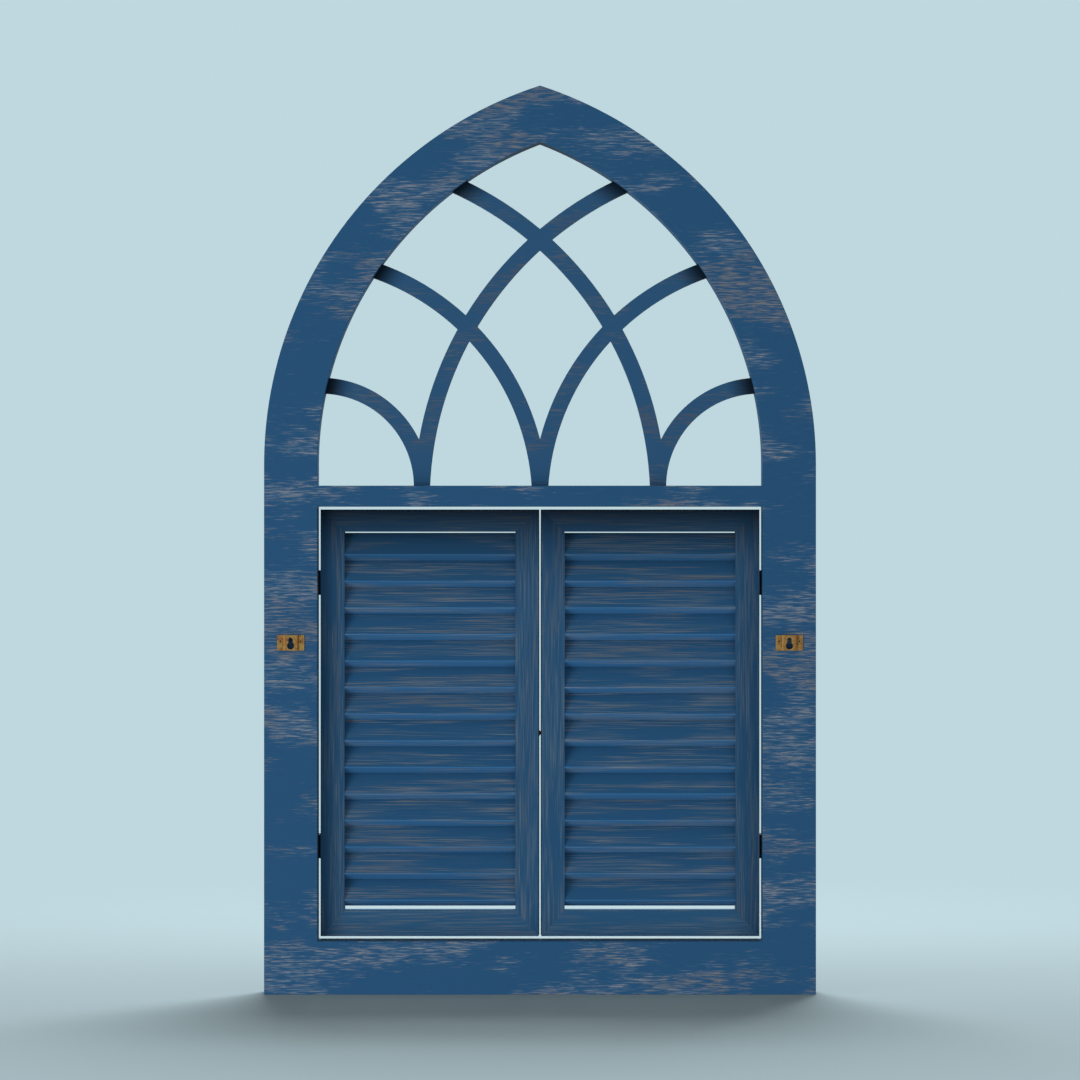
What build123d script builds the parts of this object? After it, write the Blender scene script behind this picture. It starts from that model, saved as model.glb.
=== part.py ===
from build123d import *
import os
from math import cos, radians, sin, sqrt

os.makedirs("parts", exist_ok=True)

# A pointed-arch window frame of painted wood with open tracery above and a pair of louvred shutters below.
# Millimetres. X runs across the frame, +Y is the side that faces the room, Z is up from the foot.

# Frame
frame_width = 610
frame_depth = 44
stile_width = 59
spring_height = 586
arch_radius = 440
bottom_rail_height = 59
transom_height = 23.1
transom_drop = 23.5
frame_tenon_length = 30
frame_tenon_thickness = 14
bottom_tenon_shoulder = 10
transom_tenon_shoulder = 4
stile_tenon_shoulder = 14

# Tracery
bar_width = 17.5
bar_thickness = 18
bar_housing = 4
mullion_spacing = 131
short_bar_radius = 112
middle_bar_radius = 272
long_bar_radius = 383
short_bar_drop = 1
middle_bar_drop = 18
long_bar_drop = 15.5
bar_foot_angle = 10

# Shutters
shutter_thickness = 26
shutter_stile_width = 26.5
shutter_top_rail_height = 24.6
shutter_bottom_rail_height = 28.6
shutter_tenon_length = 16
shutter_tenon_thickness = 9
shutter_tenon_shoulder = 5
side_gap = 2.8
head_gap = 3.2
foot_gap = 4.3
meeting_gap = 1.6
closing_bevel = 1

# Slats
slat_tilt = 30
slat_ease = 0.8
slat_pitch = 29.5
slat_gap = 0.9
slat_inset = 0.25
slat_housing = 5
top_slit = 1.2
bottom_slit = 4.5

# Hinges
leaf_height = 26
leaf_width = 18
leaf_thickness = 1.2
knuckle_radius = 2.5
knuckle_stand = 0.3
knuckle_gap = 0.2
pin_radius = 1.2
pin_clearance = 0.05
pin_head_radius = 1.9
pin_head_height = 0.8
leaf_screw_radius = 1.2
leaf_screw_head_radius = 2.2
leaf_screw_spacing = 14
upper_hinge_drop = 81.2
lower_hinge_rise = 98.7

# Hangers
hanger_width = 30
hanger_height = 17
hanger_sheet = 1.2
hanger_raise = 2.4
hanger_crown_width = 13.8
hanger_slope_width = 1.6
hanger_bend_radius = 0.8
hanger_drop = 197.3
keyhole_radius = 4
keyhole_slot_width = 5
keyhole_drop = 3.2
keyhole_rise = 6.6
head_pocket_width = 13
head_pocket_height = 15
head_pocket_depth = 6
hanger_screw_radius = 1.4
hanger_screw_head_radius = 2.6
hanger_screw_length = 14
hanger_screw_point = 3
hanger_screw_spacing = 22
hanger_screw_lift = 1.6

# Ball catch
catch_rise = 224.7
catch_depth = 6
barrel_radius = 3.3
barrel_length = 12
barrel_proud = 0.9
barrel_end_wall = 1.5
ball_radius = 2.5
ball_reach = 1.85
ball_clearance = 0.05
spring_wire_radius = 0.3
spring_coil_radius = 1.7
spring_turns = 4
spring_wire_sides = 6
strike_radius = 3
strike_length = 5
strike_hole_radius = 1.9
strike_hole_depth = 3

# Places worked out from the sizes above
front = frame_depth / 2
back = -frame_depth / 2
half_width = frame_width / 2
half_opening = half_width - stile_width
opening_width = 2 * half_opening
stile_middle = half_width - stile_width / 2
inner_radius = arch_radius - stile_width
frame_height = spring_height + sqrt(arch_radius**2 - (arch_radius - half_width) ** 2)
transom_top = spring_height - transom_drop
transom_foot = transom_top - transom_height
transom_middle = transom_top - transom_height / 2

shutter_edge = half_opening - side_gap
shutter_foot = bottom_rail_height + foot_gap
shutter_head = transom_foot - head_gap
shutter_height = shutter_head - shutter_foot
shutter_middle = front - shutter_thickness / 2
window_foot = shutter_foot + shutter_bottom_rail_height
window_head = shutter_head - shutter_top_rail_height
closing_edge = meeting_gap / 2
window_outer = shutter_edge - shutter_stile_width
window_inner = closing_edge + shutter_stile_width
window_width = window_outer - window_inner
window_middle = (window_outer + window_inner) / 2

pin_x = half_opening - side_gap / 2
pin_y = front + knuckle_radius + knuckle_stand
hinge_heights = {"upper": shutter_head - upper_hinge_drop, "lower": shutter_foot + lower_hinge_rise}
hanger_place = spring_height - hanger_drop
catch_height = shutter_foot + catch_rise
sides = {"left": -1, "right": 1}


def pointed_face(half, radius, foot, spring, mode=Mode.ADD):
    """A face with straight sides up to the springing and two arcs that meet in a point."""
    point = spring + sqrt(radius**2 - (radius - half) ** 2)
    with BuildLine() as outline:
        Polyline((-half, spring), (-half, foot), (half, foot), (half, spring))
        RadiusArc((half, spring), (0, point), -radius)
        RadiusArc((0, point), (-half, spring), -radius)
    make_face(outline.edges(), mode=mode)


# Bottom rail, tenoned into both stiles
with BuildPart() as bottom_rail:
    with Locations((0, 0, bottom_rail_height / 2)):
        Box(opening_width, frame_depth, bottom_rail_height)
        Box(
            opening_width + 2 * frame_tenon_length,
            frame_tenon_thickness,
            bottom_rail_height - 2 * bottom_tenon_shoulder,
        )
bottom_rail.part.label = "bottom_rail"
export_step(bottom_rail.part, "parts/bottom_rail.step")

# Tracery: three pairs of crossing bars cut from one board, let into the arch and the transom
with BuildPart() as tracery:
    with BuildSketch(Plane.XZ):
        for hand in sides.values():
            for foot_place, radius, drop in (
                (hand * mullion_spacing, short_bar_radius, short_bar_drop),
                (0, middle_bar_radius, middle_bar_drop),
                (-hand * mullion_spacing, long_bar_radius, long_bar_drop),
            ):
                with BuildLine():
                    CenterArc(
                        (foot_place + hand * radius, transom_top - drop),
                        radius,
                        0 if hand > 0 else -bar_foot_angle,
                        180 + bar_foot_angle,
                    )
                trace(line_width=bar_width)
        pointed_face(
            half_opening + bar_housing,
            inner_radius + bar_housing,
            transom_top - bar_housing,
            spring_height,
            Mode.INTERSECT,
        )
    extrude(amount=bar_thickness / 2, both=True)
tracery.part.label = "tracery"
export_step(tracery.part, "parts/tracery.step")

# Transom, tenoned into both stiles, with housings for the feet of the tracery bars
with BuildPart() as transom:
    with Locations((0, 0, transom_middle)):
        Box(opening_width, frame_depth, transom_height)
        Box(
            opening_width + 2 * frame_tenon_length,
            frame_tenon_thickness,
            transom_height - 2 * transom_tenon_shoulder,
        )
    add(tracery.part, mode=Mode.SUBTRACT)
transom.part.label = "transom"
export_step(transom.part, "parts/transom.step")

# Hanger screws, a countersunk pair through the tabs of each hanger
hanger_screw_planes = [
    Plane(
        origin=(
            hand * stile_middle + end * hanger_screw_spacing / 2,
            back - hanger_sheet,
            hanger_place + hanger_screw_lift,
        ),
        x_dir=(1, 0, 0),
        z_dir=(0, 1, 0),
    )
    for hand in sides.values()
    for end in (-1, 1)
]
hanger_screw_head = hanger_screw_head_radius - hanger_screw_radius
hanger_screw_shank = hanger_screw_length - hanger_screw_head - hanger_screw_point
with BuildPart() as hanger_screws:
    for plane in hanger_screw_planes:
        with BuildSketch(plane):
            Circle(hanger_screw_head_radius)
        extrude(amount=hanger_screw_head, taper=45)
        with BuildSketch(plane.offset(hanger_screw_head)):
            Circle(hanger_screw_radius)
        extrude(amount=hanger_screw_shank)
        with Locations(plane.offset(hanger_screw_head + hanger_screw_shank)):
            Cone(
                hanger_screw_radius,
                0,
                hanger_screw_point,
                align=(Align.CENTER, Align.CENTER, Align.MIN),
            )
hanger_screws.part.label = "hanger_screws"
export_step(hanger_screws.part, "parts/hanger_screws.step")

for side, hand in sides.items():
    # Keyhole hanger: a bent brass strip whose raised crown takes the head of a wall screw
    crown_half = hanger_crown_width / 2
    slope_half = crown_half + hanger_slope_width
    with BuildPart() as hanger:
        with BuildSketch(Plane.XY.offset(hanger_place)):
            with BuildLine(Location((hand * stile_middle, back))):
                FilletPolyline(
                    (-hanger_width / 2, 0),
                    (-slope_half, 0),
                    (-crown_half, -hanger_raise),
                    (crown_half, -hanger_raise),
                    (slope_half, 0),
                    (hanger_width / 2, 0),
                    radius=hanger_bend_radius,
                )
                offset(amount=hanger_sheet, side=Side.RIGHT)
            make_face()
        extrude(amount=hanger_height / 2, both=True)
        with BuildSketch(Plane.XZ.offset(-back)):
            with Locations((hand * stile_middle, hanger_place - keyhole_drop)):
                Circle(keyhole_radius)
                Rectangle(keyhole_slot_width, keyhole_rise, align=(Align.CENTER, Align.MIN))
            with Locations((hand * stile_middle, hanger_place - keyhole_drop + keyhole_rise)):
                Circle(keyhole_slot_width / 2)
        extrude(amount=hanger_raise + 2 * hanger_sheet, mode=Mode.SUBTRACT)
        add(hanger_screws.part, mode=Mode.SUBTRACT)
    hanger.part.label = f"{side}_hanger"
    export_step(hanger.part, f"parts/{side}_hanger.step")

    # Stile: mortised for both rails, tenoned into the arch, with a pocket behind the hanger's keyhole
    with BuildPart() as stile:
        with Locations((hand * stile_middle, 0, 0)):
            Box(
                stile_width,
                frame_depth,
                spring_height,
                align=(Align.CENTER, Align.CENTER, Align.MIN),
            )
        with Locations((hand * stile_middle, 0, spring_height)):
            Box(
                stile_width - 2 * stile_tenon_shoulder,
                frame_tenon_thickness,
                frame_tenon_length,
                align=(Align.CENTER, Align.CENTER, Align.MIN),
            )
        with Locations((hand * stile_middle, back, hanger_place)):
            Box(
                head_pocket_width,
                head_pocket_depth,
                head_pocket_height,
                align=(Align.CENTER, Align.MIN, Align.CENTER),
                mode=Mode.SUBTRACT,
            )
        add(bottom_rail.part, mode=Mode.SUBTRACT)
        add(transom.part, mode=Mode.SUBTRACT)
        add(hanger_screws.part, mode=Mode.SUBTRACT)
    stile.part.label = f"{side}_stile"
    export_step(stile.part, f"parts/{side}_stile.step")

    # Half of the arch, sawn to its curve, mitred at the point and housed for the tracery
    with BuildPart() as arch:
        with BuildSketch(Plane.XZ):
            pointed_face(half_width, arch_radius, 0, spring_height)
            pointed_face(half_opening, inner_radius, 0, spring_height, Mode.SUBTRACT)
            with Locations((hand * half_width / 2, spring_height)):
                Rectangle(
                    half_width,
                    frame_height,
                    align=(Align.CENTER, Align.MIN),
                    mode=Mode.INTERSECT,
                )
        extrude(amount=frame_depth / 2, both=True)
        add(stile.part, mode=Mode.SUBTRACT)
        add(tracery.part, mode=Mode.SUBTRACT)
    arch.part.label = f"{side}_arch"
    export_step(arch.part, f"parts/{side}_arch.step")


def hinge_leaf(seat, towards, hand, height, knuckle_spans):
    """A hinge leaf: a plate on its seat, with knuckles round the pin at the given spans of the height."""
    plate_middle = hand * (seat + towards * leaf_thickness / 2)
    with BuildPart() as leaf:
        with Locations((plate_middle, front, height)):
            Box(
                leaf_thickness,
                leaf_width,
                leaf_height,
                align=(Align.CENTER, Align.MAX, Align.CENTER),
            )
        for low, high in knuckle_spans:
            with BuildSketch(Plane.XY.offset(height + low)):
                with Locations((plate_middle, front)):
                    Rectangle(leaf_thickness, pin_y - front, align=(Align.CENTER, Align.MIN))
                with Locations((hand * pin_x, pin_y)):
                    Circle(knuckle_radius)
            extrude(amount=high - low)
        with Locations((hand * pin_x, pin_y, height)):
            Cylinder(pin_radius + pin_clearance, leaf_height, mode=Mode.SUBTRACT)
        with Locations(
            *[
                Plane(
                    origin=(
                        hand * (seat + towards * leaf_thickness),
                        front - leaf_width / 2,
                        height + end * leaf_screw_spacing / 2,
                    ),
                    z_dir=(hand * towards, 0, 0),
                )
                for end in (-1, 1)
            ]
        ):
            CounterSinkHole(leaf_screw_radius, leaf_screw_head_radius, leaf_thickness)
    return leaf


# Hinges: each has a leaf on the frame with two knuckles and a leaf on the shutter with one
middle_knuckle = leaf_height / 3
outer_knuckle = middle_knuckle / 2 + knuckle_gap
frame_knuckles = ((-leaf_height / 2, -outer_knuckle), (outer_knuckle, leaf_height / 2))
shutter_knuckles = ((-middle_knuckle / 2, middle_knuckle / 2),)
for side, hand in sides.items():
    for level, height in hinge_heights.items():
        frame_leaf = hinge_leaf(half_opening, -1, hand, height, frame_knuckles)
        frame_leaf.part.label = f"{side}_{level}_frame_leaf"
        export_step(frame_leaf.part, f"parts/{side}_{level}_frame_leaf.step")

        shutter_leaf = hinge_leaf(shutter_edge, 1, hand, height, shutter_knuckles)
        shutter_leaf.part.label = f"{side}_{level}_shutter_leaf"
        export_step(shutter_leaf.part, f"parts/{side}_{level}_shutter_leaf.step")

# Hinge pins with a button at each end
with BuildPart() as hinge_pins:
    for hand in sides.values():
        for height in hinge_heights.values():
            with Locations((hand * pin_x, pin_y, height)):
                Cylinder(pin_radius, leaf_height)
            for end in (-1, 1):
                with Locations((hand * pin_x, pin_y, height + end * (leaf_height + pin_head_height) / 2)):
                    Cylinder(pin_head_radius, pin_head_height)
hinge_pins.part.label = "hinge_pins"
export_step(hinge_pins.part, "parts/hinge_pins.step")

# Ball catch: a sprung ball in a brass barrel in the left shutter, and its cup in the right one
catch_y = front - catch_depth
catch_edge = closing_edge + closing_bevel * catch_depth / shutter_thickness
barrel_face = barrel_proud - catch_edge
ball_sink = ball_radius - ball_reach
barrel_plane = Plane(origin=(barrel_face, catch_y, catch_height), x_dir=(0, 1, 0), z_dir=(-1, 0, 0))
strike_plane = Plane(origin=(catch_edge, catch_y, catch_height), x_dir=(0, 1, 0), z_dir=(1, 0, 0))
cavity_radius = ball_radius + ball_clearance
cavity_end = barrel_length - barrel_end_wall
with BuildPart(barrel_plane) as catch_barrel:
    Cylinder(barrel_radius, barrel_length, align=(Align.CENTER, Align.CENTER, Align.MIN))
    with Locations((0, 0, ball_sink)):
        Sphere(cavity_radius, mode=Mode.SUBTRACT)
        Cylinder(
            cavity_radius,
            cavity_end - ball_sink,
            align=(Align.CENTER, Align.CENTER, Align.MIN),
            mode=Mode.SUBTRACT,
        )
catch_barrel.part.label = "catch_barrel"
export_step(catch_barrel.part, "parts/catch_barrel.step")

with BuildPart(barrel_plane) as catch_ball:
    with Locations((0, 0, ball_sink)):
        Sphere(ball_radius)
catch_ball.part.label = "catch_ball"
export_step(catch_ball.part, "parts/catch_ball.step")

# Spring behind the ball
ball_back = ball_sink + sqrt(ball_radius**2 - spring_coil_radius**2)
spring_start = ball_back + 2 * spring_wire_radius
spring_length = cavity_end - spring_wire_radius - spring_start
spring_end = barrel_plane.offset(spring_start)
with BuildPart() as catch_spring:
    with BuildLine() as coil:
        Helix(
            spring_length / spring_turns,
            spring_length,
            spring_coil_radius,
            center=spring_end.origin,
            direction=spring_end.z_dir,
        )
    with BuildSketch(Plane(origin=coil.line @ 0, z_dir=coil.line % 0)):
        RegularPolygon(spring_wire_radius, spring_wire_sides)
    sweep(path=coil.line, is_frenet=True)
catch_spring.part.label = "catch_spring"
export_step(catch_spring.part, "parts/catch_spring.step")

with BuildPart(strike_plane) as catch_strike:
    Cylinder(strike_radius, strike_length, align=(Align.CENTER, Align.CENTER, Align.MIN))
    Cylinder(
        strike_hole_radius,
        strike_hole_depth,
        align=(Align.CENTER, Align.CENTER, Align.MIN),
        mode=Mode.SUBTRACT,
    )
catch_strike.part.label = "catch_strike"
export_step(catch_strike.part, "parts/catch_strike.step")

# Slats: evenly spaced between the rails, lower edge towards the wall, as deep as the shutter less the insets
# and as thick as leaves the gap between them
lean = sin(radians(slat_tilt))
stand = cos(radians(slat_tilt))
slat_space = window_head - window_foot - top_slit - bottom_slit
slat_steps = round((slat_space - shutter_thickness) / slat_pitch)
corner_loss = 2 * slat_ease * lean
slat_depth = shutter_thickness - 2 * slat_inset + corner_loss
slat_thickness = ((slat_space + corner_loss) * lean - slat_depth * stand - slat_gap * slat_steps) / (
    slat_steps + lean**2 - stand**2
)
slat_width = (slat_depth - slat_thickness * stand) / lean
slat_rise = slat_width * stand + slat_thickness * lean - corner_loss
slat_step = (slat_space - slat_rise) / slat_steps
first_slat = window_head - top_slit - slat_rise / 2

for side, hand in sides.items():
    window_x = hand * window_middle

    # Rails of the shutter, mitred at the corners, tenoned into its stiles and bevelled with the closing stile
    rails = []
    for level, outer, inner in (
        ("top", shutter_head, window_head),
        ("bottom", shutter_foot, window_foot),
    ):
        height = abs(outer - inner)
        with BuildPart() as rail:
            with BuildSketch(Plane.XZ.offset(-front)):
                with BuildLine():
                    Polyline(
                        (hand * shutter_edge, outer),
                        (hand * closing_edge, outer),
                        (hand * window_inner, inner),
                        (hand * window_outer, inner),
                        close=True,
                    )
                make_face()
            extrude(amount=shutter_thickness)
            with BuildSketch(Plane.XY.offset(shutter_foot)):
                with BuildLine():
                    Polyline(
                        (hand * closing_edge, front),
                        (hand * (closing_edge + closing_bevel), front - shutter_thickness),
                        (0, front - shutter_thickness),
                        (0, front),
                        close=True,
                    )
                make_face()
            extrude(amount=shutter_height, mode=Mode.SUBTRACT)
            with Locations((window_x, shutter_middle, (outer + inner) / 2)):
                Box(
                    window_width + 2 * shutter_tenon_length,
                    shutter_tenon_thickness,
                    height - 2 * shutter_tenon_shoulder,
                )
        rail.part.label = f"{side}_{level}_rail"
        export_step(rail.part, f"parts/{side}_{level}_rail.step")
        rails.append(rail.part)

    # Louvre slats with eased edges, housed in both stiles
    slats = []
    for step in range(slat_steps + 1):
        slat_plane = Plane(
            origin=(window_x, shutter_middle, first_slat - step * slat_step),
            x_dir=(1, 0, 0),
            z_dir=(0, lean, stand),
        )
        with BuildPart(slat_plane) as slat:
            Box(window_width + 2 * slat_housing, slat_thickness, slat_width)
            chamfer(slat.edges().filter_by(Axis.X), slat_ease)
        slat.part.label = f"{side}_slat_{step + 1:02d}"
        export_step(slat.part, f"parts/{side}_slat_{step + 1:02d}.step")
        slats.append(slat.part)

    # Hinge stile
    with BuildPart() as hinge_stile:
        with Locations((hand * (window_outer + shutter_stile_width / 2), shutter_middle, shutter_foot)):
            Box(
                shutter_stile_width,
                shutter_thickness,
                shutter_height,
                align=(Align.CENTER, Align.CENTER, Align.MIN),
            )
        add(rails, mode=Mode.SUBTRACT)
        add(slats, mode=Mode.SUBTRACT)
    hinge_stile.part.label = f"{side}_hinge_stile"
    export_step(hinge_stile.part, f"parts/{side}_hinge_stile.step")

    # Closing stile, bevelled so that its rear corner clears the other shutter as it swings
    catch_plane = barrel_plane if hand < 0 else strike_plane
    catch_radius = barrel_radius if hand < 0 else strike_radius
    catch_length = barrel_length if hand < 0 else strike_length
    with BuildPart() as closing_stile:
        with BuildSketch(Plane.XY.offset(shutter_foot)):
            with BuildLine():
                Polyline(
                    (hand * closing_edge, front),
                    (hand * window_inner, front),
                    (hand * window_inner, front - shutter_thickness),
                    (hand * (closing_edge + closing_bevel), front - shutter_thickness),
                    close=True,
                )
            make_face()
        extrude(amount=shutter_height)
        add(rails, mode=Mode.SUBTRACT)
        add(slats, mode=Mode.SUBTRACT)
        with Locations(catch_plane.offset(-closing_bevel)):
            Cylinder(
                catch_radius,
                catch_length + closing_bevel,
                align=(Align.CENTER, Align.CENTER, Align.MIN),
                mode=Mode.SUBTRACT,
            )
    closing_stile.part.label = f"{side}_closing_stile"
    export_step(closing_stile.part, f"parts/{side}_closing_stile.step")
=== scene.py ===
import math

import bmesh
import bpy
from mathutils import Matrix, Vector


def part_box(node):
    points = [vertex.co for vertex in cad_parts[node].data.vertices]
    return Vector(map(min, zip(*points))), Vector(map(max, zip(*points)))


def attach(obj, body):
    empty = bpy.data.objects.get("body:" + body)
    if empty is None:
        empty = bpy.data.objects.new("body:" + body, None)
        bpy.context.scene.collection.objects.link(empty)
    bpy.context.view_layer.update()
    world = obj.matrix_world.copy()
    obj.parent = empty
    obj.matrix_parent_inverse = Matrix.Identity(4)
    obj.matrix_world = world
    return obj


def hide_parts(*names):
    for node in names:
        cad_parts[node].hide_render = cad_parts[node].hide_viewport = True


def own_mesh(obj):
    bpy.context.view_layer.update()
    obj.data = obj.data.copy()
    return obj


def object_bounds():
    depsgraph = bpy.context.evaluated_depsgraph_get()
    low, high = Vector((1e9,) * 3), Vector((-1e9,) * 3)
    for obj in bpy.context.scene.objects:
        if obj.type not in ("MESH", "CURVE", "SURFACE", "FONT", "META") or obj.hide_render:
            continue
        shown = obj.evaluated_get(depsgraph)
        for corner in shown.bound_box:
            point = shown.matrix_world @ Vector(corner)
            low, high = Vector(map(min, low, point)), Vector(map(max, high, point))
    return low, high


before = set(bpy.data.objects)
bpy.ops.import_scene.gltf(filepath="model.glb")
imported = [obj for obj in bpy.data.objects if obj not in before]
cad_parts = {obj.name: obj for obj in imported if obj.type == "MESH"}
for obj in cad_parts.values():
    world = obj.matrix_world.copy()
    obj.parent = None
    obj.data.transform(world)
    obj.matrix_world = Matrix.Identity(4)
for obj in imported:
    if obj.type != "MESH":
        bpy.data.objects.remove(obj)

cad_box = [list(corner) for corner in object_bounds()]

# Frame: two stiles, a bottom rail and a transom under the two halves of a pointed arch.
# Softwood, mortised and glued, then painted over as one, so that no joint shows.
# Its arrises are rubbed round, its paint is worn through in level streaks, and faces that look down get
# painted shade.
millimetre = 0.001
stile_low, stile_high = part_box("left_stile")
arch_low, arch_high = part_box("left_arch")
transom_low, transom_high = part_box("transom")
hanger_low, hanger_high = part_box("left_hanger")
rail_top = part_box("bottom_rail")[1].z
half_width = -stile_low.x
half_opening = -stile_high.x
frame_back = stile_low.y
frame_front = stile_high.y
springing = arch_low.z
arch_rise = arch_high.z - springing
arch_radius = (half_width**2 + arch_rise**2) / (2 * half_width)
arch_centre = arch_radius - half_width
arch_steps = 48
frame_ease = 0.9 * millimetre
ease_segments = 2
pocket_width = 13 * millimetre
pocket_height = 15 * millimetre
pocket_depth = 6 * millimetre
sharp_angle = math.radians(30)
tiny = 1e-5
flat_face_weight = 100

streak_detail = 3.0
streak_roughness = 0.6
streak_waver = 0.5
patch_push = 0.2
rubbed_span = (0.62, 0.88)
thin_share = 0.5
mottle_stretch = 2
mottle_span = (0.4, 0.6)
stain_stretch = 1.5
stain_span = (0.5, 0.62)
level_slope = 0.7
outward_span = (0.3, 0.7)
sheltered_share = 0.4
# Span of the painted highlight on faces that look along the lit edge normal
lit_edge_span = (0.55, 0.65)
# Dark blue of the painted shade under the arch, the transom and the point of the arch
painted_shade_colour = (8, 14, 22)
paint_roughness = 0.5
bare_roughness = 0.8
paint_gloss = 0.02
paint_relief = 0.3
paint_depth = 0.3
# Painted shade on faces that look down, as in the point of the arch
downward_span = (0.8, 0.95)
point_shade = 0.9


def srgb(red, green, blue):
    """The linear colour of a paint that is named by its screen values from 0 to 255."""
    channels = [value / 255 for value in (red, green, blue)]
    return [c / 12.92 if c <= 0.04045 else ((c + 0.055) / 1.055) ** 2.4 for c in channels] + [1]


class Nodes:
    """A node tree in the making, with short ways of adding nodes to it."""

    def __init__(self, tree):
        self.tree = tree

    def fill(self, node, inputs):
        """Links each socket and sets each plain value on the inputs of a node."""
        for key, value in inputs.items():
            if isinstance(value, bpy.types.NodeSocket):
                self.tree.links.new(value, node.inputs[key])
            else:
                node.inputs[key].default_value = value
        return node

    def add(self, kind, inputs=None, **settings):
        node = self.tree.nodes.new(kind)
        for key, value in settings.items():
            setattr(node, key, value)
        return self.fill(node, inputs or {})

    def math(self, operation, *values):
        return self.add("ShaderNodeMath", dict(enumerate(values)), operation=operation).outputs[0]

    def slope(self, value, low, high, at_low=0.0, at_high=1.0, kind="LINEAR"):
        """A straight rise or fall between two values, and level outside them."""
        ends = {"From Min": low, "From Max": high, "To Min": at_low, "To Max": at_high}
        return self.add("ShaderNodeMapRange", {"Value": value, **ends}, interpolation_type=kind).outputs[0]

    def spread(self, value, low, high, at_low=0.0, at_high=1.0):
        """A smooth rise or fall between two values, and level outside them."""
        return self.slope(value, low, high, at_low, at_high, "SMOOTHSTEP")

    def split(self, vector):
        return self.add("ShaderNodeSeparateXYZ", {0: vector}).outputs[:]


class Finish(Nodes):
    """A material in the making."""

    colour_sockets = (6, 7, 2)
    vector_sockets = (4, 5, 1)

    def __init__(self, name):
        self.material = bpy.data.materials.new(name)
        self.material.use_nodes = True
        super().__init__(self.material.node_tree)
        self.shader = self.tree.nodes["Principled BSDF"]
        coordinates = self.add("ShaderNodeTexCoord")
        self.place = coordinates.outputs["Object"]
        self.normal = coordinates.outputs["Normal"]

    def set(self, **inputs):
        """Fills the shader's own inputs, named with _ for each blank."""
        self.fill(self.shader, {key.replace("_", " "): value for key, value in inputs.items()})

    def noise(self, place, sizes, detail=2.0, roughness=0.5, distortion=0.0):
        """Noise whose grains have the given sizes in millimetres along X, Y and Z."""
        scale = [1 / (size * millimetre) for size in sizes]
        mapping = self.add("ShaderNodeMapping", {"Vector": place, "Scale": scale})
        grain = {"Scale": 1.0, "Detail": detail, "Roughness": roughness, "Distortion": distortion}
        return self.add("ShaderNodeTexNoise", {"Vector": mapping.outputs[0], **grain}).outputs["Fac"]

    def mix(self, kind, sockets, factor, first, second):
        first_socket, second_socket, result = sockets
        inputs = {"Factor": factor, first_socket: first, second_socket: second}
        return self.add("ShaderNodeMix", inputs, data_type=kind).outputs[result]

    def blend(self, factor, first, second):
        """From one colour to another as the factor rises."""
        return self.mix("RGBA", self.colour_sockets, factor, first, second)

    def choose(self, factor, first, second):
        """One of two places, as the factor is 0 or 1."""
        return self.mix("VECTOR", self.vector_sockets, factor, first, second)

    def relief(self, height, strength, depth):
        """Bumps of the given depth in millimetres."""
        bump = {"Height": height, "Strength": strength, "Distance": depth * millimetre}
        self.set(Normal=self.add("ShaderNodeBump", bump).outputs[0])


def worn_paint(
    name,
    paint,
    streak,
    patch,
    wear,
    tones,
    strength,
    painted_shade=None,
    frame_faces=False,
    lit_edge_paint=None,
    lit_edge_normal=None,
):
    """Satin paint rubbed through in streaks, where streak and patch give sizes along X, Y and Z.

    The tones are two of the rubbed wood and one of the stains on it. With frame_faces, the streaks also run
    along faces that lie level, and faces that look aside are less worn. Faces that look along the lit edge
    normal get the lit edge paint, a painted highlight, and the shade mask darkens the colour as painted
    shade.
    """
    finish = Finish(name)
    place = finish.place
    if frame_faces:
        along, across, up = finish.split(place)
        swapped = finish.add("ShaderNodeCombineXYZ", {"X": along, "Y": up, "Z": across}).outputs[0]
        steepness = finish.math("ABSOLUTE", finish.split(finish.normal)[2])
        place = finish.choose(finish.math("GREATER_THAN", steepness, level_slope), place, swapped)
    streaks = finish.noise(place, streak, streak_detail, streak_roughness, streak_waver)
    cover = finish.spread(finish.noise(place, patch), *wear)
    rubbed = finish.spread(finish.math("MULTIPLY_ADD", cover, patch_push, streaks), *rubbed_span)
    bare = finish.math("MULTIPLY", rubbed, finish.spread(cover, 0.0, 1.0, thin_share * strength, strength))
    if frame_faces:
        looks_out = finish.math("ABSOLUTE", finish.split(finish.normal)[1])
        bare = finish.math("MULTIPLY", bare, finish.spread(looks_out, *outward_span, sheltered_share, 1.0))
    mottle = finish.spread(finish.noise(place, [mottle_stretch * size for size in streak], 1.0), *mottle_span)
    stain = finish.spread(finish.noise(place, [stain_stretch * size for size in patch], 1.0), *stain_span)
    tone = finish.blend(mottle, srgb(*tones[0]), srgb(*tones[1]))
    tone = finish.blend(stain, tone, srgb(*tones[2]))
    coat = srgb(*paint)
    # Painted highlight: a lighter colour on faces that look along the lit edge normal
    if lit_edge_paint:
        along_normal = {0: finish.normal, 1: lit_edge_normal}
        turn = finish.add("ShaderNodeVectorMath", along_normal, operation="DOT_PRODUCT").outputs["Value"]
        coat = finish.blend(finish.spread(turn, *lit_edge_span), coat, srgb(*lit_edge_paint))
    colour = finish.blend(bare, coat, tone)
    # Painted shade: the shade mask darkens the colour towards a dark blue
    if painted_shade:
        colour = finish.blend(painted_shade(finish), colour, srgb(*painted_shade_colour))
    finish.set(
        Base_Color=colour,
        Roughness=finish.spread(bare, 0.0, 1.0, paint_roughness, bare_roughness),
        Specular_IOR_Level=paint_gloss,
    )
    finish.relief(finish.math("SUBTRACT", 1.0, bare), paint_relief, paint_depth)
    return finish.material


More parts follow.
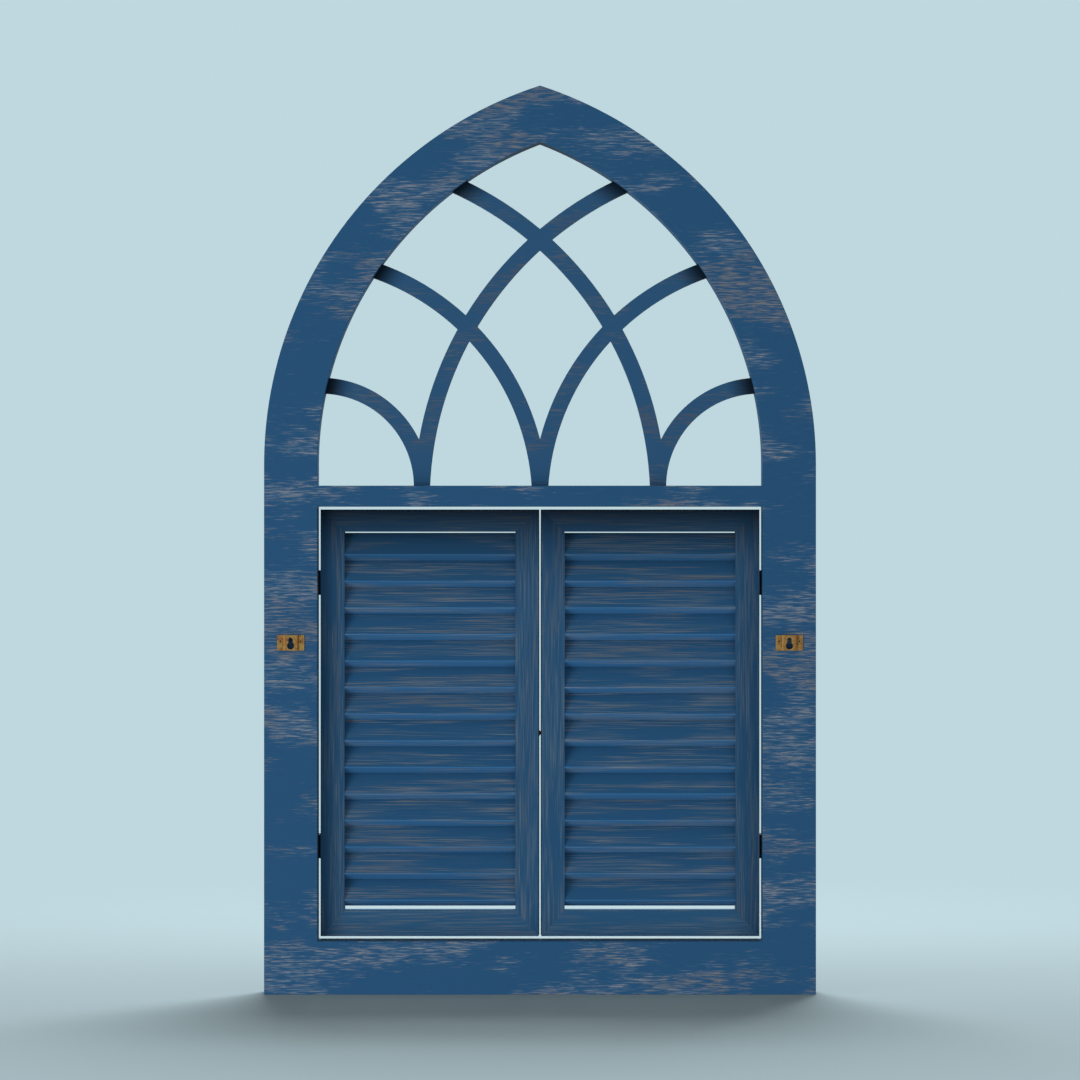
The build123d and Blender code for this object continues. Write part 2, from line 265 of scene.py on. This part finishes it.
def finish_piece(name, bm, materials, body, nodes):
    """Makes the mesh a piece of the scene that rides on its body and stands for its CAD nodes."""
    mesh = bpy.data.meshes.new(name)
    bm.to_mesh(mesh)
    bm.free()
    mesh.shade_smooth()
    piece = bpy.data.objects.new(name, mesh)
    bpy.context.scene.collection.objects.link(piece)
    for material in materials:
        mesh.materials.append(material)
    weighted = piece.modifiers.new("flat_faces", "WEIGHTED_NORMAL")
    weighted.weight = flat_face_weight
    weighted.keep_sharp = True
    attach(piece, body)
    if nodes:
        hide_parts(*nodes)
    return piece


def ease_edges(bm, amount):
    """Rounds off the edges where two faces meet at a clear angle."""
    bmesh.ops.bevel(
        bm,
        geom=[e for e in bm.edges if e.is_manifold and e.calc_face_angle() > sharp_angle],
        offset=amount,
        segments=ease_segments,
        profile=0.5,
        affect="EDGES",
        clamp_overlap=True,
        material=-1,
    )


def verts_of(geometry):
    """The vertices among what an operator made."""
    return [part for part in geometry if isinstance(part, bmesh.types.BMVert)]


def with_borders(faces):
    """Some faces with their edges and vertices, each of them once."""
    return list(dict.fromkeys(part for face in faces for part in (face, *face.edges, *face.verts)))


def shade_in_point(finish):
    """How dark the painted shade is on faces that look down, as in the point of the arch."""
    looks_down = finish.math("MULTIPLY", finish.split(finish.normal)[2], -1.0)
    return finish.spread(looks_down, *downward_span, 0.0, point_shade)


frame_paint = worn_paint(
    "worn_frame_paint",
    paint=(37, 78, 114),
    streak=(17, 17, 1.2),
    patch=(110, 110, 42),
    wear=(0.4, 0.6),
    tones=((98, 120, 140), (138, 142, 146), (126, 123, 118)),
    strength=0.7,
    painted_shade=shade_in_point,
    frame_faces=True,
)

# Left half of the outline: the stile downwards and the arch upwards from the springing
bm = bmesh.new()
spring_outer = bm.verts.new((-half_width, frame_back, springing))
spring_inner = bm.verts.new((-half_opening, frame_back, springing))
spring_edge = bm.edges.new((spring_outer, spring_inner))
down = [spring_edge]
for height in (transom_high.z, transom_low.z, rail_top, 0):
    grown = bmesh.ops.extrude_edge_only(bm, edges=down)["geom"]
    for vert in verts_of(grown):
        vert.co.z = height
    down = [part for part in grown if isinstance(part, bmesh.types.BMEdge)]
bmesh.ops.spin(
    bm,
    geom=[spring_outer, spring_inner, spring_edge],
    cent=(arch_centre, frame_back, springing),
    axis=(0, 1, 0),
    angle=math.acos(arch_centre / arch_radius),
    steps=arch_steps,
)

# The transom and the bottom rail, drawn out from the stile to the middle, and the mitre at the point
for high, low in ((transom_high.z, transom_low.z), (rail_top, 0)):
    middle = (high + low) / 2
    rail_ends = [
        e
        for e in bm.edges
        if all(abs(v.co.x + half_opening) < tiny for v in e.verts)
        and abs((e.verts[0].co.z + e.verts[1].co.z) / 2 - middle) < tiny
    ]
    for vert in verts_of(bmesh.ops.extrude_edge_only(bm, edges=rail_ends)["geom"]):
        vert.co.x = 0
bmesh.ops.bisect_plane(
    bm,
    geom=bm.verts[:] + bm.edges[:] + bm.faces[:],
    plane_co=(0, 0, 0),
    plane_no=(1, 0, 0),
    clear_outer=True,
)

# The outline of the pocket behind the hanger's keyhole
pocket_middle = (hanger_low + hanger_high) / 2
for axis, size in ((Vector((1, 0, 0)), pocket_width), (Vector((0, 0, 1)), pocket_height)):
    for end in (-1, 1):
        stile_faces = []
        for face in bm.faces:
            centre = face.calc_center_median()
            if centre.x < -half_opening and rail_top < centre.z < transom_low.z:
                stile_faces.append(face)
        cut = pocket_middle + axis * end * size / 2
        bmesh.ops.bisect_plane(bm, geom=with_borders(stile_faces), plane_co=cut, plane_no=axis)

# The right half, the depth, the eased arrises and the sunk pockets
bmesh.ops.mirror(bm, geom=bm.verts[:] + bm.edges[:] + bm.faces[:], axis="X", merge_dist=tiny)
bmesh.ops.remove_doubles(bm, verts=bm.verts[:], dist=tiny)
bmesh.ops.recalc_face_normals(bm, faces=bm.faces[:])
grown = bmesh.ops.extrude_face_region(bm, geom=bm.faces[:])["geom"]
bmesh.ops.translate(bm, verts=verts_of(grown), vec=(0, frame_front - frame_back, 0))
bmesh.ops.recalc_face_normals(bm, faces=bm.faces[:])
ease_edges(bm, frame_ease)
pockets = []
for face in bm.faces:
    centre = face.calc_center_median()
    on_back = abs(centre.y - frame_back) < tiny
    aside = abs(abs(centre.x) + pocket_middle.x)
    above = abs(centre.z - pocket_middle.z)
    if on_back and aside < pocket_width / 2 and above < pocket_height / 2:
        pockets.append(face)
for face in bmesh.ops.extrude_discrete_faces(bm, faces=pockets)["faces"]:
    bmesh.ops.translate(bm, verts=face.verts[:], vec=(0, pocket_depth, 0))
finish_piece(
    "window_frame",
    bm,
    [frame_paint],
    "frame",
    ["left_stile", "right_stile", "left_arch", "right_arch", "bottom_rail", "transom"],
)

# Tracery: three pairs of crossing bars sawn from one board and let into the arch and the transom.
# Softwood, painted with the frame, with fainter wear, and with painted shade where the bars meet the arch.
tracery_ease = 0.6 * millimetre
# Reach and darkness of the painted shade under the arch
arch_shade_reach = 32 * millimetre
arch_shade = 0.92
inner_radius = half_opening + arch_centre
weld_distance = tiny / 10
flat_angle = math.radians(0.4)


def merged_copy(node):
    """The mesh of a CAD node with its loose triangles joined."""
    bm = bmesh.new()
    bm.from_mesh(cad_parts[node].data)
    bmesh.ops.remove_doubles(bm, verts=bm.verts[:], dist=weld_distance)
    return bm


def shade_under_arch(finish):
    """How dark the painted shade is, by how near a place is to the inside of the arch."""
    without_depth = {0: finish.place, 1: (1, 0, 1)}
    flat = finish.add("ShaderNodeVectorMath", without_depth, operation="MULTIPLY").outputs[0]
    reach = []
    for hand in (-1, 1):
        centre = (hand * arch_centre, 0, springing)
        gap = finish.add("ShaderNodeVectorMath", {0: flat, 1: centre}, operation="DISTANCE")
        reach.append(gap.outputs["Value"])
    farther = finish.math("MAXIMUM", *reach)
    return finish.spread(farther, inner_radius - arch_shade_reach, inner_radius, 0.0, arch_shade)


tracery_paint = worn_paint(
    "worn_tracery_paint",
    paint=(41, 79, 113),
    streak=(18, 18, 1.2),
    patch=(70, 70, 34),
    wear=(0.4, 0.6),
    tones=((66, 86, 104), (94, 96, 98), (88, 84, 82)),
    strength=0.55,
    painted_shade=shade_under_arch,
)
bm = merged_copy("tracery")
bmesh.ops.dissolve_limit(bm, angle_limit=flat_angle, verts=bm.verts[:], edges=bm.edges[:])
ease_edges(bm, tracery_ease)
finish_piece("tracery_bars", bm, [tracery_paint], "frame", ["tracery"])

# Shutter stiles and rails: thin members mitred at the corners, with the streaks along each one.
# Softwood, tenoned together and painted, with painted shade where the frame shelters them.
shutter_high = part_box("right_hinge_stile")[1]
# Reach, darkness and fall of the painted shade under the transom and beside the hinges
top_shade_reach = 130 * millimetre
top_shade = 0.93
top_shade_power = 2.6
side_shade_reach = 40 * millimetre
side_shade = 0.2
member_wear = (0.28, 0.5)
member_tones = ((78, 104, 124), (102, 114, 122), (100, 105, 108))
member_strength = 0.55
sides = ("left", "right")


def shade_in_reveal(finish):
    """How dark the painted shade is under the transom and beside the hinges."""
    along, across, up = finish.split(finish.place)
    rise = finish.slope(up, shutter_high.z - top_shade_reach, shutter_high.z)
    top = finish.math("MULTIPLY", finish.math("POWER", rise, top_shade_power), top_shade)
    from_middle = finish.math("ABSOLUTE", along)
    side = finish.spread(from_middle, shutter_high.x - side_shade_reach, shutter_high.x, 0.0, side_shade)
    return finish.math("MAXIMUM", top, side)


def paint_nodes(names, material):
    """Gives CAD nodes a material of the scene."""
    for name in names:
        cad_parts[name].data.materials.clear()
        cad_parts[name].data.materials.append(material)


stile_paint = worn_paint(
    "worn_shutter_stile_paint",
    paint=(36, 75, 109),
    streak=(1.0, 1.0, 60),
    patch=(12, 12, 120),
    wear=member_wear,
    tones=member_tones,
    strength=member_strength,
    painted_shade=shade_in_reveal,
)
rail_paint = worn_paint(
    "worn_shutter_rail_paint",
    paint=(40, 81, 116),
    streak=(60, 1.0, 1.0),
    patch=(120, 12, 12),
    wear=member_wear,
    tones=member_tones,
    strength=member_strength,
    painted_shade=shade_in_reveal,
)
for side in sides:
    paint_nodes([f"{side}_hinge_stile", f"{side}_closing_stile"], stile_paint)
    paint_nodes([f"{side}_top_rail", f"{side}_bottom_rail"], rail_paint)

# Louvre slats: planed strips with eased edges, housed aslant in the shutter stiles.
# Softwood, painted and streaked along the grain, with a painted highlight of lighter blue on the lower edges
# that face the wall side, and painted shade under the transom and beside the hinges.
slat_paint = worn_paint(
    "worn_slat_paint",
    paint=(39, 82, 119),
    streak=(64, 0.9, 0.9),
    patch=(190, 15, 15),
    wear=(0.34, 0.54),
    tones=((82, 104, 122), (120, 126, 128), (113, 114, 110)),
    strength=0.7,
    painted_shade=shade_in_reveal,
    # Painted highlight of lighter blue on the lower edges that face the wall side
    lit_edge_paint=(50, 99, 143),
    lit_edge_normal=(0, -0.5, -0.866),
)
paint_nodes([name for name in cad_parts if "_slat_" in name], slat_paint)

# Hangers: brass plates stamped with a raised keyhole, each held to its stile by two cross-head screws.
# Dull, mottled brass, with dark brown painted into the recesses of the screws as painted shade.
hanger_screw_head = 2.6 * millimetre
hanger_screw_shank = 1.4 * millimetre
hanger_screw_sink = 1.2 * millimetre
hanger_screw_point = 3 * millimetre
hanger_screw_spacing = 22 * millimetre
screw_segments = 24
screw_tip_share = 0.1
recess_arm_share = 0.5
recess_slot_share = 0.16
recess_depth_share = 0.6
hanger_mottle = 5
screw_mottle = 2
yellow_brass = srgb(150, 122, 62)
red_brass = srgb(140, 94, 38)
brown_brass = srgb(122, 72, 32)
# Dark browns of the painted shade in the screw recesses
dark_recess_shade = srgb(34, 24, 14)
pale_recess_shade = srgb(70, 50, 26)
recess_shade_grain = (0.6, 0.6, 0.6)


def worn_brass(name, size):
    """Dull brass, mottled from reddish to greenish yellow in clouds of the given size in millimetres."""
    finish = Finish(name)
    cloud_noise = finish.noise(finish.place, (size, size, size), detail=3.0, roughness=0.6)
    cloud = finish.spread(cloud_noise, low=0.38, high=0.62)
    spot_noise = finish.noise(finish.place, (size / 2, size / 2, size))
    spots = finish.spread(spot_noise, low=0.56, high=0.66)
    colour = finish.blend(spots, finish.blend(cloud, red_brass, yellow_brass), brown_brass)
    roughness = finish.spread(cloud, 0.0, 1.0, at_low=0.42, at_high=0.6)
    finish.set(Base_Color=colour, Metallic=0.4, Roughness=roughness)
    finish.relief(cloud, strength=0.2, depth=0.1)
    return finish.material


def cross_head_screw(bm, place, axis, head, shank, sink, length, point):
    """Adds a countersunk screw whose head lies flush at its place and whose shank runs along its axis.

    A screw that is no longer than its head gets no shank.
    """
    before = set(bm.verts)
    bmesh.ops.create_cone(bm, cap_ends=True, segments=screw_segments, radius1=head, radius2=shank, depth=sink)
    fresh = [v for v in bm.verts if v not in before]
    bmesh.ops.translate(bm, verts=fresh, vec=(0, 0, sink / 2))
    cap = max({f for v in fresh for f in v.link_faces}, key=lambda f: f.calc_center_median().z)
    if length > sink:
        for run, narrowing in ((length - sink - point, 1), (point, screw_tip_share)):
            cap = bmesh.ops.extrude_discrete_faces(bm, faces=[cap])["faces"][0]
            bmesh.ops.translate(bm, verts=cap.verts[:], vec=(0, 0, run))
            bmesh.ops.scale(bm, verts=cap.verts[:], vec=(narrowing, narrowing, 1))
    arm = head * recess_arm_share
    half_slot = head * recess_slot_share
    for normal in (Vector((1, 0, 0)), Vector((0, 1, 0))):
        for cut in (-arm, -half_slot, half_slot, arm):
            top = [f for f in bm.faces if f.calc_center_median().z < tiny and f.verts[0] not in before]
            around = with_borders(top)
            bmesh.ops.bisect_plane(bm, geom=around, dist=tiny, plane_co=normal * cut, plane_no=normal)
    recess = []
    for face in bm.faces:
        middle = face.calc_center_median()
        nearer, farther = sorted((abs(middle.x), abs(middle.y)))
        if face.verts[0] not in before and middle.z < tiny and nearer < half_slot and farther < arm:
            recess.append(face)
    sunk = verts_of(bmesh.ops.extrude_face_region(bm, geom=recess)["geom"])
    bmesh.ops.delete(bm, geom=recess, context="FACES")
    bmesh.ops.translate(bm, verts=sunk, vec=(0, 0, sink * recess_depth_share))
    # The recess faces take the second material, which on the hanger screws is painted shade
    for face in {f for v in sunk for f in v.link_faces}:
        face.material_index = 1
    fresh = [v for v in bm.verts if v not in before]
    turn = Vector(axis).to_track_quat("Z", "Y").to_matrix().to_4x4()
    bmesh.ops.transform(bm, matrix=Matrix.Translation(place) @ turn, verts=fresh)


paint_nodes(["left_hanger", "right_hanger"], worn_brass("mottled_brass", hanger_mottle))
# Painted shade in the screw recesses: a dark brown
recess_shade_finish = Finish("shade_in_recess")
recess_shade_noise = recess_shade_finish.noise(recess_shade_finish.place, recess_shade_grain)
recess_shade_finish.set(Base_Color=recess_shade_finish.blend(recess_shade_noise, dark_recess_shade, pale_recess_shade), Roughness=0.8)

screw_low, screw_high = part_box("hanger_screws")
screw_height = (screw_low.z + screw_high.z) / 2
bm = bmesh.new()
for side in sides:
    plate_low, plate_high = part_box(f"{side}_hanger")
    for end in (-1, 1):
        screw_x = (plate_low.x + plate_high.x) / 2 + end * hanger_screw_spacing / 2
        cross_head_screw(
            bm,
            place=(screw_x, screw_low.y, screw_height),
            axis=(0, 1, 0),
            head=hanger_screw_head,
            shank=hanger_screw_shank,
            sink=hanger_screw_sink,
            length=screw_high.y - screw_low.y,
            point=hanger_screw_point,
        )
bmesh.ops.recalc_face_normals(bm, faces=bm.faces[:])
finish_piece(
    "hanger_screw_set",
    bm,
    [worn_brass("screw_brass", screw_mottle), recess_shade_finish.material],
    "frame",
    ["hanger_screws"],
)

# Hinges: small steel butt hinges in the gaps beside the shutters, with the pins on the room side.
# Black lacquer rubbed grey in places, and countersunk cross-head screws lacquered with them.
leaf_screw_head = 2.15 * millimetre
leaf_screw_shank = 1.15 * millimetre
leaf_screw_sink = 1.1 * millimetre
leaf_screw_spacing = 14 * millimetre
leaf_width = 18 * millimetre
leaf_thickness = 1.2 * millimetre
hinge_levels = ("upper", "lower")
black_lacquer = srgb(16, 16, 18)
rubbed_lacquer = srgb(40, 39, 38)
lacquer_grain = (3, 3, 5)
lacquer_finish = Finish("black_lacquer")
rub = lacquer_finish.noise(lacquer_finish.place, lacquer_grain, detail=3.0, roughness=0.6)
rubbed_thin = lacquer_finish.spread(rub, low=0.58, high=0.72)
lacquer_finish.set(
    Base_Color=lacquer_finish.blend(rubbed_thin, black_lacquer, rubbed_lacquer),
    Roughness=lacquer_finish.spread(rub, low=0.3, high=0.7, at_low=0.4, at_high=0.65),
    Specular_IOR_Level=0.25,
)
lacquer_finish.relief(rub, strength=0.15, depth=0.1)
lacquer = lacquer_finish.material
paint_nodes([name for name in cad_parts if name.endswith("_leaf")] + ["hinge_pins"], lacquer)


def leaf_screws(name, leaves, body, shutter_side):
    """The screws of some hinge leaves, as one piece."""
    bm = bmesh.new()
    face = shutter_high.x + leaf_thickness if shutter_side else half_opening - leaf_thickness
    inward = -1 if shutter_side else 1
    for leaf in leaves:
        low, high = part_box(leaf)
        hand = 1 if low.x > 0 else -1
        for end in (-1, 1):
            screw_z = (low.z + high.z) / 2 + end * leaf_screw_spacing / 2
            cross_head_screw(
                bm,
                place=(hand * face, frame_front - leaf_width / 2, screw_z),
                axis=(hand * inward, 0, 0),
                head=leaf_screw_head,
                shank=leaf_screw_shank,
                sink=leaf_screw_sink,
                length=leaf_screw_sink,
                point=0,
            )
    bmesh.ops.recalc_face_normals(bm, faces=bm.faces[:])
    finish_piece(name, bm, [lacquer, lacquer], body, [])


frame_leaves = [f"{side}_{level}_frame_leaf" for side in sides for level in hinge_levels]
leaf_screws("frame_leaf_screws", frame_leaves, "frame", False)
for side in sides:
    shutter_leaves = [f"{side}_{level}_shutter_leaf" for level in hinge_levels]
    leaf_screws(f"{side}_leaf_screws", shutter_leaves, f"{side}_shutter", True)

# Ball catch: a sprung ball in a brass barrel in the left shutter, and a brass cup in the right one.
# Turned brass, dull outside, and a coil of steel wire.
catch_mottle = 3
wire_grain = (0.4, 0.4, 0.4)
dark_steel = srgb(120, 122, 126)
pale_steel = srgb(168, 170, 174)
paint_nodes(["catch_barrel", "catch_ball", "catch_strike"], worn_brass("catch_brass", catch_mottle))
spring_finish = Finish("spring_steel")
drawn = spring_finish.noise(spring_finish.place, wire_grain)
spring_finish.set(
    Base_Color=spring_finish.blend(drawn, dark_steel, pale_steel),
    Metallic=1.0,
    Roughness=spring_finish.spread(drawn, low=0.3, high=0.7, at_low=0.25, at_high=0.45),
)
bm = merged_copy("catch_spring")
coil = finish_piece(
    "coil_spring",
    bm,
    [spring_finish.material],
    "left_shutter",
    ["catch_spring"],
)
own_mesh(coil)

# Studio: a pale floor that fades into a pale backdrop, and a camera that faces the wall side squarely.
# The soft light comes from the front and the sides, fainter from above and from behind.
# One lamp high behind the frame throws its shadow forwards, and one stands low on the left.
backdrop = srgb(191, 216, 223)
floor_colour = srgb(141, 158, 163)
floor_radius = 2.4
floor_solid_radius = 0.35
floor_segments = 96
floor_finish = Finish("pale_floor")
reach = floor_finish.add("ShaderNodeVectorMath", {0: floor_finish.place}, operation="LENGTH").outputs["Value"]
floor_finish.set(
    Base_Color=floor_colour,
    Roughness=0.9,
    Specular_IOR_Level=0.0,
    Alpha=floor_finish.spread(reach, floor_solid_radius, floor_radius, at_low=1.0, at_high=0.0),
)
bm = bmesh.new()
bmesh.ops.create_circle(bm, cap_ends=True, segments=floor_segments, radius=floor_radius)
floor_mesh = bpy.data.meshes.new("floor")
bm.to_mesh(floor_mesh)
bm.free()
floor_mesh.materials.append(floor_finish.material)
floor = bpy.data.objects.new("floor", floor_mesh)
bpy.context.scene.collection.objects.link(floor)
floor.visible_diffuse = False
floor.visible_shadow = False

light_front = 1.0
light_behind = 0.45
front_to_behind = (-0.04, 0.2)
light_below = 0.95
light_above = 0.5
below_to_above = (-0.6, 0.6)
light_left = 1.05
light_right = 0.9
world = bpy.data.worlds.new("studio")
world.use_nodes = True
bpy.context.scene.world = world
sky = Nodes(world.node_tree)
rightwards, backwards, upwards = sky.split(sky.add("ShaderNodeTexCoord").outputs["Generated"])
by_depth = sky.spread(backwards, *front_to_behind, light_front, light_behind)
by_height = sky.slope(upwards, *below_to_above, light_below, light_above)
by_side = sky.slope(rightwards, -1.0, 1.0, light_left, light_right)
strength = sky.math("MULTIPLY", by_depth, sky.math("MULTIPLY", by_height, by_side))
soft_light = sky.fill(world.node_tree.nodes["Background"], {"Color": (1, 1, 1, 1), "Strength": strength})
seen = sky.add("ShaderNodeBackground", {"Color": backdrop})
path = sky.add("ShaderNodeLightPath").outputs
mirrored = sky.math("MAXIMUM", path["Is Glossy Ray"], path["Is Transmission Ray"])
shown = sky.math("MAXIMUM", path["Is Camera Ray"], mirrored)
mix = sky.add("ShaderNodeMixShader", {"Fac": shown, 1: soft_light.outputs[0], 2: seen.outputs[0]})
sky.fill(world.node_tree.nodes["World Output"], {"Surface": mix.outputs[0]})


def soft_box(name, place, target, size, power):
    """A square lamp that looks at its target."""
    lamp = bpy.data.lights.new(name, "AREA")
    lamp.shape = "SQUARE"
    lamp.size = size
    lamp.energy = power
    box = bpy.data.objects.new(name, lamp)
    bpy.context.scene.collection.objects.link(box)
    box.location = place
    box.rotation_euler = (Vector(target) - Vector(place)).to_track_quat("-Z", "Y").to_euler()


soft_box("back", place=(0.2, 2.0, 3.2), target=(0, 0, 0.2), size=1.6, power=220)
soft_box("left", place=(-3.0, -3.0, 0.3), target=(0, 0, 0.5), size=2.2, power=75)

camera_distance = 6.027
focal_length = 181.8
sensor_width = 36
lens = bpy.data.cameras.new("camera")
lens.sensor_width = sensor_width
lens.lens = focal_length
camera = bpy.data.objects.new("camera", lens)
camera.location = (0, frame_back - camera_distance, cad_box[1][2] / 2)
camera.rotation_euler = (math.radians(90), 0, 0)
bpy.context.scene.collection.objects.link(camera)
bpy.context.scene.camera = camera
bpy.context.scene.view_settings.view_transform = "Standard"
